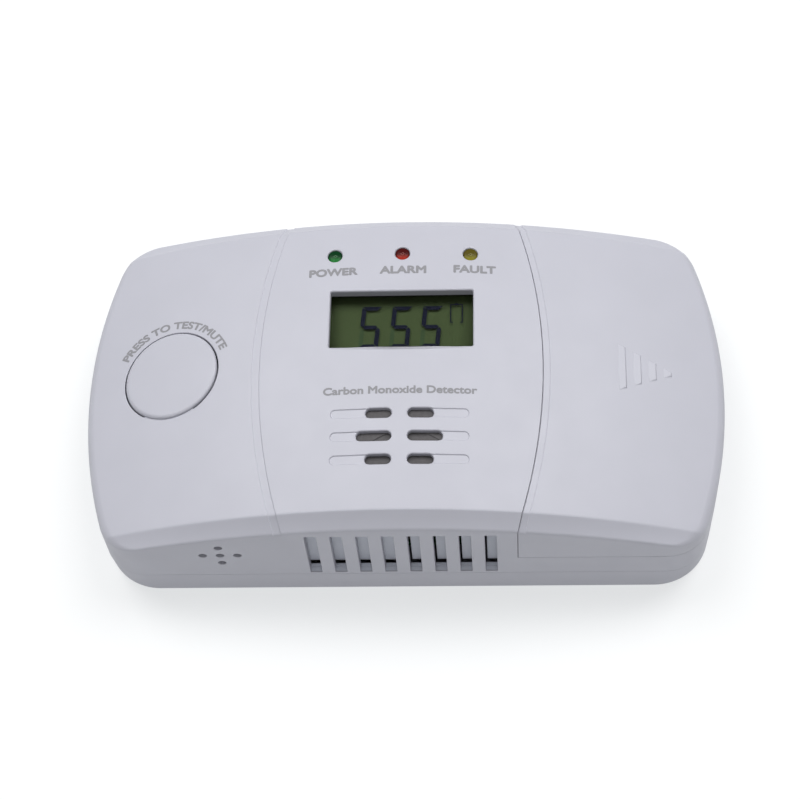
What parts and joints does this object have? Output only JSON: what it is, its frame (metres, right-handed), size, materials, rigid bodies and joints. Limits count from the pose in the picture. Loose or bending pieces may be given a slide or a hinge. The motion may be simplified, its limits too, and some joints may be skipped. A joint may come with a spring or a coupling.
{
  "type": "carbon monoxide detector",
  "caption": "Wall carbon monoxide alarm with a domed white casing, display, indicator lamps, test button and sliding battery door.",
  "frame": {"origin": "centre of the flat back, at the bottom of the bounding box", "axes": "+Z out of the face, +Y towards the top edge as hung on a wall, +X towards the battery side"},
  "size_m": [0.1316, 0.0714, 0.0335],
  "materials": {
    "white_abs": "fine satin moulding texture",
    "dark_abs": "satin",
    "grey_abs": "satin",
    "chip_resin": "matte",
    "capacitor_sleeve": "shrunk sleeve",
    "inductor_ferrite": "ferrite with heat-shrink",
    "board_laminate": "solder mask",
    "display_glass": "reflective olive liquid-crystal cell",
    "display_film": "reflective film",
    "green_lens": "tinted epoxy",
    "red_lens": "tinted epoxy",
    "yellow_lens": "tinted epoxy",
    "cell_jacket": "printed jacket",
    "brass_disc": "rolled",
    "ceramic": "silvered ceramic",
    "felt": "pressed filter",
    "plated_steel": "nickel plated"
  },
  "bodies": {
    "casing": {"alarm_led": "red_lens", "alarm_led_spacer": "dark_abs", "battery_cell_1": "cell_jacket", "battery_cell_2": "cell_jacket", "battery_contact_negative": "plated_steel", "battery_contact_positive": "plated_steel", "battery_contact_series": "plated_steel", "battery_spring_1": "plated_steel", "battery_spring_2": "plated_steel", "battery_tray": "white_abs", "board_screw_1": "plated_steel", "board_screw_2": "plated_steel", "button_hinge_web": "white_abs", "case_screw_1": "plated_steel", "case_screw_2": "plated_steel", "case_screw_3": "plated_steel", "case_screw_4": "plated_steel", "controller_chip": "chip_resin", "fault_led": "yellow_lens", "fault_led_spacer": "dark_abs", "filter_capacitor": "capacitor_sleeve", "front_cover": "white_abs", "gas_sensor_can": "plated_steel", "gas_sensor_cap": "grey_abs", "gas_sensor_filter": "felt", "lcd_glass": "display_glass", "lcd_holder": "dark_abs", "lcd_pins_lower": "plated_steel", "lcd_pins_upper": "plated_steel", "lcd_reflector": "display_film", "main_board": "board_laminate", "main_capacitor": "capacitor_sleeve", "piezo_ceramic": "ceramic", "piezo_diaphragm": "brass_disc", "power_led": "green_lens", "power_led_spacer": "dark_abs", "rear_cover": "white_abs", "sensor_amplifier_chip": "chip_resin", "sound_screen": "felt", "sounder_base": "grey_abs", "sounder_cap": "grey_abs", "sounder_driver_chip": "chip_resin", "sounder_inductor": "inductor_ferrite", "test_switch_body": "dark_abs", "vent_baffle": "white_abs"},
    "battery_door": {"battery_door": "white_abs"},
    "test_button": {"test_button": "white_abs"},
    "switch_plunger": {"test_switch_plunger": "dark_abs"}
  },
  "joints": [
    {"name": "battery_door_slide", "type": "slide", "parent": "casing", "child": "battery_door", "axis": [1, 0, 0], "range_m": [0, 0.036]},
    {"name": "test_button_hinge", "type": "hinge", "parent": "casing", "child": "test_button", "pos_m": [-0.04747, -0.0076, 0.0256], "axis": [-0.9502, 0, -0.3118], "range_deg": [0, 2.5], "stiffness_Nm_per_rad": 0.6},
    {"name": "switch_plunger_slide", "type": "slide", "parent": "casing", "child": "switch_plunger", "axis": [0, 0, -1], "range_m": [0, 0.0006]}
  ],
  "couplings": [
    {"joint": "switch_plunger_slide", "follows": "test_button_hinge", "m_per_rad": 0.012}
  ]
}
